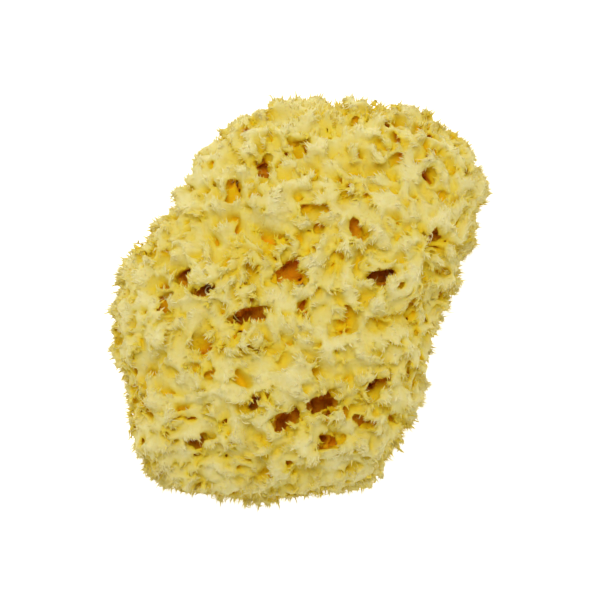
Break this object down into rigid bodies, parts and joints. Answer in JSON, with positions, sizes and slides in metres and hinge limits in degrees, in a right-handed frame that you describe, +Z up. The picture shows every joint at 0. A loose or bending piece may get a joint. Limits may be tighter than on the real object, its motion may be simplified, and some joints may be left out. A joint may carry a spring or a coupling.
{
  "type": "sea sponge",
  "caption": "Natural bath sponge: a rounded, lopsided cushion of soft fibre, full of pores, cut off flat underneath.",
  "frame": {"origin": "middle of the bounding box in X and Y, at the flat cut face the sponge rests on", "axes": "+Z up through the thickness from the cut face to the domed upper face, +Y along the longer side of the box, +X across it"},
  "size_m": [0.1236, 0.1328, 0.0636],
  "materials": {
    "sponge_fibre": "dull, soft and fuzzy, pale yellow with ochre hollows"
  },
  "bodies": {
    "root": {"sponge": "sponge_fibre"}
  },
  "joints": []
}
